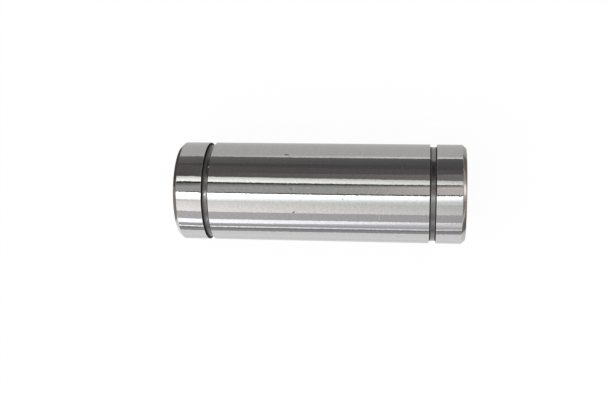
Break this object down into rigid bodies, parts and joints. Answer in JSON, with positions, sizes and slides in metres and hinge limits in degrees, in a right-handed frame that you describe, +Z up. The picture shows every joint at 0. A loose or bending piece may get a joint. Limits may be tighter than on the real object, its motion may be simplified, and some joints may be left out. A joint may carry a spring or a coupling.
{
  "type": "linear ball bearing",
  "caption": "Long closed linear ball bearing for a round shaft: ground steel sleeve with two retaining-ring grooves, end seals, and resin cages of recirculating balls.",
  "frame": {"origin": "centre of the shaft bore, midway along the bearing", "axes": "+X along the shaft bore; +Z up with the bearing lying on its side; one row of loaded balls at the top, on +Z"},
  "size_m": [0.055, 0.019, 0.019],
  "materials": {
    "ground_steel": "ground bearing steel, bright",
    "ball_steel": "polished bearing steel balls",
    "cage_resin": "moulded natural acetal resin, satin",
    "spring_steel": "blued spring steel",
    "seal_rubber": "black nitrile rubber, matt",
    "washer_steel": "pressed sheet steel"
  },
  "bodies": {
    "housing": {"outer_sleeve": "ground_steel", "right_cage": "cage_resin", "left_cage": "cage_resin", "right_spring_ring": "spring_steel", "left_spring_ring": "spring_steel", "right_seal": "seal_rubber", "left_seal": "seal_rubber", "right_seal_washer": "washer_steel", "left_seal_washer": "washer_steel"},
    "right_loop_1_loaded_balls": {"right_loop_1_loaded_balls": "ball_steel"},
    "right_loop_1_returning_balls": {"right_loop_1_returning_balls": "ball_steel"},
    "right_loop_1_right_turn_balls": {"right_loop_1_right_turn_balls": "ball_steel"},
    "right_loop_1_left_turn_balls": {"right_loop_1_left_turn_balls": "ball_steel"},
    "right_loop_2_loaded_balls": {"right_loop_2_loaded_balls": "ball_steel"},
    "right_loop_2_returning_balls": {"right_loop_2_returning_balls": "ball_steel"},
    "right_loop_2_right_turn_balls": {"right_loop_2_right_turn_balls": "ball_steel"},
    "right_loop_2_left_turn_balls": {"right_loop_2_left_turn_balls": "ball_steel"},
    "right_loop_3_loaded_balls": {"right_loop_3_loaded_balls": "ball_steel"},
    "right_loop_3_returning_balls": {"right_loop_3_returning_balls": "ball_steel"},
    "right_loop_3_right_turn_balls": {"right_loop_3_right_turn_balls": "ball_steel"},
    "right_loop_3_left_turn_balls": {"right_loop_3_left_turn_balls": "ball_steel"},
    "right_loop_4_loaded_balls": {"right_loop_4_loaded_balls": "ball_steel"},
    "right_loop_4_returning_balls": {"right_loop_4_returning_balls": "ball_steel"},
    "right_loop_4_right_turn_balls": {"right_loop_4_right_turn_balls": "ball_steel"},
    "right_loop_4_left_turn_balls": {"right_loop_4_left_turn_balls": "ball_steel"},
    "left_loop_1_loaded_balls": {"left_loop_1_loaded_balls": "ball_steel"},
    "left_loop_1_returning_balls": {"left_loop_1_returning_balls": "ball_steel"},
    "left_loop_1_right_turn_balls": {"left_loop_1_right_turn_balls": "ball_steel"},
    "left_loop_1_left_turn_balls": {"left_loop_1_left_turn_balls": "ball_steel"},
    "left_loop_2_loaded_balls": {"left_loop_2_loaded_balls": "ball_steel"},
    "left_loop_2_returning_balls": {"left_loop_2_returning_balls": "ball_steel"},
    "left_loop_2_right_turn_balls": {"left_loop_2_right_turn_balls": "ball_steel"},
    "left_loop_2_left_turn_balls": {"left_loop_2_left_turn_balls": "ball_steel"},
    "left_loop_3_loaded_balls": {"left_loop_3_loaded_balls": "ball_steel"},
    "left_loop_3_returning_balls": {"left_loop_3_returning_balls": "ball_steel"},
    "left_loop_3_right_turn_balls": {"left_loop_3_right_turn_balls": "ball_steel"},
    "left_loop_3_left_turn_balls": {"left_loop_3_left_turn_balls": "ball_steel"},
    "left_loop_4_loaded_balls": {"left_loop_4_loaded_balls": "ball_steel"},
    "left_loop_4_returning_balls": {"left_loop_4_returning_balls": "ball_steel"},
    "left_loop_4_right_turn_balls": {"left_loop_4_right_turn_balls": "ball_steel"},
    "left_loop_4_left_turn_balls": {"left_loop_4_left_turn_balls": "ball_steel"}
  },
  "joints": [
    {"name": "right_loop_1_loaded_row_travel", "type": "slide", "parent": "housing", "child": "right_loop_1_loaded_balls", "axis": [1, 0, 0], "range_m": [-0.00107, 0.00107]},
    {"name": "right_loop_1_returning_row_travel", "type": "slide", "parent": "housing", "child": "right_loop_1_returning_balls", "axis": [1, 0, 0], "range_m": [-0.00107, 0.00107]},
    {"name": "right_loop_1_right_turn_travel", "type": "hinge", "parent": "housing", "child": "right_loop_1_right_turn_balls", "pos_m": [0.01998, -0.00204, 0.006], "axis": [0, 0.0012, 1], "range_deg": [-30.01, 30.01]},
    {"name": "right_loop_1_left_turn_travel", "type": "hinge", "parent": "housing", "child": "right_loop_1_left_turn_balls", "pos_m": [0.00502, -0.00204, 0.006], "axis": [0, 0.0012, 1], "range_deg": [-30.01, 30.01]},
    {"name": "right_loop_2_loaded_row_travel", "type": "slide", "parent": "housing", "child": "right_loop_2_loaded_balls", "axis": [1, 0, 0], "range_m": [-0.00107, 0.00107]},
    {"name": "right_loop_2_returning_row_travel", "type": "slide", "parent": "housing", "child": "right_loop_2_returning_balls", "axis": [1, 0, 0], "range_m": [-0.00107, 0.00107]},
    {"name": "right_loop_2_right_turn_travel", "type": "hinge", "parent": "housing", "child": "right_loop_2_right_turn_balls", "pos_m": [0.01998, -0.006, -0.00204], "axis": [0, -1, 0.0012], "range_deg": [-30.01, 30.01]},
    {"name": "right_loop_2_left_turn_travel", "type": "hinge", "parent": "housing", "child": "right_loop_2_left_turn_balls", "pos_m": [0.00502, -0.006, -0.00204], "axis": [0, -1, 0.0012], "range_deg": [-30.01, 30.01]},
    {"name": "right_loop_3_loaded_row_travel", "type": "slide", "parent": "housing", "child": "right_loop_3_loaded_balls", "axis": [1, 0, 0], "range_m": [-0.00107, 0.00107]},
    {"name": "right_loop_3_returning_row_travel", "type": "slide", "parent": "housing", "child": "right_loop_3_returning_balls", "axis": [1, 0, 0], "range_m": [-0.00107, 0.00107]},
    {"name": "right_loop_3_right_turn_travel", "type": "hinge", "parent": "housing", "child": "right_loop_3_right_turn_balls", "pos_m": [0.01998, 0.00204, -0.006], "axis": [0, -0.0012, -1], "range_deg": [-30.01, 30.01]},
    {"name": "right_loop_3_left_turn_travel", "type": "hinge", "parent": "housing", "child": "right_loop_3_left_turn_balls", "pos_m": [0.00502, 0.00204, -0.006], "axis": [0, -0.0012, -1], "range_deg": [-30.01, 30.01]},
    {"name": "right_loop_4_loaded_row_travel", "type": "slide", "parent": "housing", "child": "right_loop_4_loaded_balls", "axis": [1, 0, 0], "range_m": [-0.00107, 0.00107]},
    {"name": "right_loop_4_returning_row_travel", "type": "slide", "parent": "housing", "child": "right_loop_4_returning_balls", "axis": [1, 0, 0], "range_m": [-0.00107, 0.00107]},
    {"name": "right_loop_4_right_turn_travel", "type": "hinge", "parent": "housing", "child": "right_loop_4_right_turn_balls", "pos_m": [0.01998, 0.006, 0.00204], "axis": [0, 1, -0.0012], "range_deg": [-30.01, 30.01]},
    {"name": "right_loop_4_left_turn_travel", "type": "hinge", "parent": "housing", "child": "right_loop_4_left_turn_balls", "pos_m": [0.00502, 0.006, 0.00204], "axis": [0, 1, -0.0012], "range_deg": [-30.01, 30.01]},
    {"name": "left_loop_1_loaded_row_travel", "type": "slide", "parent": "housing", "child": "left_loop_1_loaded_balls", "axis": [1, 0, 0], "range_m": [-0.00107, 0.00107]},
    {"name": "left_loop_1_returning_row_travel", "type": "slide", "parent": "housing", "child": "left_loop_1_returning_balls", "axis": [1, 0, 0], "range_m": [-0.00107, 0.00107]},
    {"name": "left_loop_1_right_turn_travel", "type": "hinge", "parent": "housing", "child": "left_loop_1_right_turn_balls", "pos_m": [-0.00502, -0.00204, 0.006], "axis": [0, 0.0012, 1], "range_deg": [-30.01, 30.01]},
    {"name": "left_loop_1_left_turn_travel", "type": "hinge", "parent": "housing", "child": "left_loop_1_left_turn_balls", "pos_m": [-0.01998, -0.00204, 0.006], "axis": [0, 0.0012, 1], "range_deg": [-30.01, 30.01]},
    {"name": "left_loop_2_loaded_row_travel", "type": "slide", "parent": "housing", "child": "left_loop_2_loaded_balls", "axis": [1, 0, 0], "range_m": [-0.00107, 0.00107]},
    {"name": "left_loop_2_returning_row_travel", "type": "slide", "parent": "housing", "child": "left_loop_2_returning_balls", "axis": [1, 0, 0], "range_m": [-0.00107, 0.00107]},
    {"name": "left_loop_2_right_turn_travel", "type": "hinge", "parent": "housing", "child": "left_loop_2_right_turn_balls", "pos_m": [-0.00502, -0.006, -0.00204], "axis": [0, -1, 0.0012], "range_deg": [-30.01, 30.01]},
    {"name": "left_loop_2_left_turn_travel", "type": "hinge", "parent": "housing", "child": "left_loop_2_left_turn_balls", "pos_m": [-0.01998, -0.006, -0.00204], "axis": [0, -1, 0.0012], "range_deg": [-30.01, 30.01]},
    {"name": "left_loop_3_loaded_row_travel", "type": "slide", "parent": "housing", "child": "left_loop_3_loaded_balls", "axis": [1, 0, 0], "range_m": [-0.00107, 0.00107]},
    {"name": "left_loop_3_returning_row_travel", "type": "slide", "parent": "housing", "child": "left_loop_3_returning_balls", "axis": [1, 0, 0], "range_m": [-0.00107, 0.00107]},
    {"name": "left_loop_3_right_turn_travel", "type": "hinge", "parent": "housing", "child": "left_loop_3_right_turn_balls", "pos_m": [-0.00502, 0.00204, -0.006], "axis": [0, -0.0012, -1], "range_deg": [-30.01, 30.01]},
    {"name": "left_loop_3_left_turn_travel", "type": "hinge", "parent": "housing", "child": "left_loop_3_left_turn_balls", "pos_m": [-0.01998, 0.00204, -0.006], "axis": [0, -0.0012, -1], "range_deg": [-30.01, 30.01]},
    {"name": "left_loop_4_loaded_row_travel", "type": "slide", "parent": "housing", "child": "left_loop_4_loaded_balls", "axis": [1, 0, 0], "range_m": [-0.00107, 0.00107]},
    {"name": "left_loop_4_returning_row_travel", "type": "slide", "parent": "housing", "child": "left_loop_4_returning_balls", "axis": [1, 0, 0], "range_m": [-0.00107, 0.00107]},
    {"name": "left_loop_4_right_turn_travel", "type": "hinge", "parent": "housing", "child": "left_loop_4_right_turn_balls", "pos_m": [-0.00502, 0.006, 0.00204], "axis": [0, 1, -0.0012], "range_deg": [-30.01, 30.01]},
    {"name": "left_loop_4_left_turn_travel", "type": "hinge", "parent": "housing", "child": "left_loop_4_left_turn_balls", "pos_m": [-0.01998, 0.006, 0.00204], "axis": [0, 1, -0.0012], "range_deg": [-30.01, 30.01]}
  ],
  "couplings": [
    {"joint": "right_loop_1_returning_row_travel", "follows": "right_loop_1_loaded_row_travel", "ratio": -1},
    {"joint": "right_loop_1_right_turn_travel", "follows": "right_loop_1_loaded_row_travel", "rad_per_m": -490.2},
    {"joint": "right_loop_1_left_turn_travel", "follows": "right_loop_1_loaded_row_travel", "rad_per_m": -490.2},
    {"joint": "right_loop_2_returning_row_travel", "follows": "right_loop_2_loaded_row_travel", "ratio": -1},
    {"joint": "right_loop_2_right_turn_travel", "follows": "right_loop_2_loaded_row_travel", "rad_per_m": -490.2},
    {"joint": "right_loop_2_left_turn_travel", "follows": "right_loop_2_loaded_row_travel", "rad_per_m": -490.2},
    {"joint": "right_loop_3_returning_row_travel", "follows": "right_loop_3_loaded_row_travel", "ratio": -1},
    {"joint": "right_loop_3_right_turn_travel", "follows": "right_loop_3_loaded_row_travel", "rad_per_m": -490.2},
    {"joint": "right_loop_3_left_turn_travel", "follows": "right_loop_3_loaded_row_travel", "rad_per_m": -490.2},
    {"joint": "right_loop_4_returning_row_travel", "follows": "right_loop_4_loaded_row_travel", "ratio": -1},
    {"joint": "right_loop_4_right_turn_travel", "follows": "right_loop_4_loaded_row_travel", "rad_per_m": -490.2},
    {"joint": "right_loop_4_left_turn_travel", "follows": "right_loop_4_loaded_row_travel", "rad_per_m": -490.2},
    {"joint": "left_loop_1_returning_row_travel", "follows": "left_loop_1_loaded_row_travel", "ratio": -1},
    {"joint": "left_loop_1_right_turn_travel", "follows": "left_loop_1_loaded_row_travel", "rad_per_m": -490.2},
    {"joint": "left_loop_1_left_turn_travel", "follows": "left_loop_1_loaded_row_travel", "rad_per_m": -490.2},
    {"joint": "left_loop_2_returning_row_travel", "follows": "left_loop_2_loaded_row_travel", "ratio": -1},
    {"joint": "left_loop_2_right_turn_travel", "follows": "left_loop_2_loaded_row_travel", "rad_per_m": -490.2},
    {"joint": "left_loop_2_left_turn_travel", "follows": "left_loop_2_loaded_row_travel", "rad_per_m": -490.2},
    {"joint": "left_loop_3_returning_row_travel", "follows": "left_loop_3_loaded_row_travel", "ratio": -1},
    {"joint": "left_loop_3_right_turn_travel", "follows": "left_loop_3_loaded_row_travel", "rad_per_m": -490.2},
    {"joint": "left_loop_3_left_turn_travel", "follows": "left_loop_3_loaded_row_travel", "rad_per_m": -490.2},
    {"joint": "left_loop_4_returning_row_travel", "follows": "left_loop_4_loaded_row_travel", "ratio": -1},
    {"joint": "left_loop_4_right_turn_travel", "follows": "left_loop_4_loaded_row_travel", "rad_per_m": -490.2},
    {"joint": "left_loop_4_left_turn_travel", "follows": "left_loop_4_loaded_row_travel", "rad_per_m": -490.2}
  ]
}
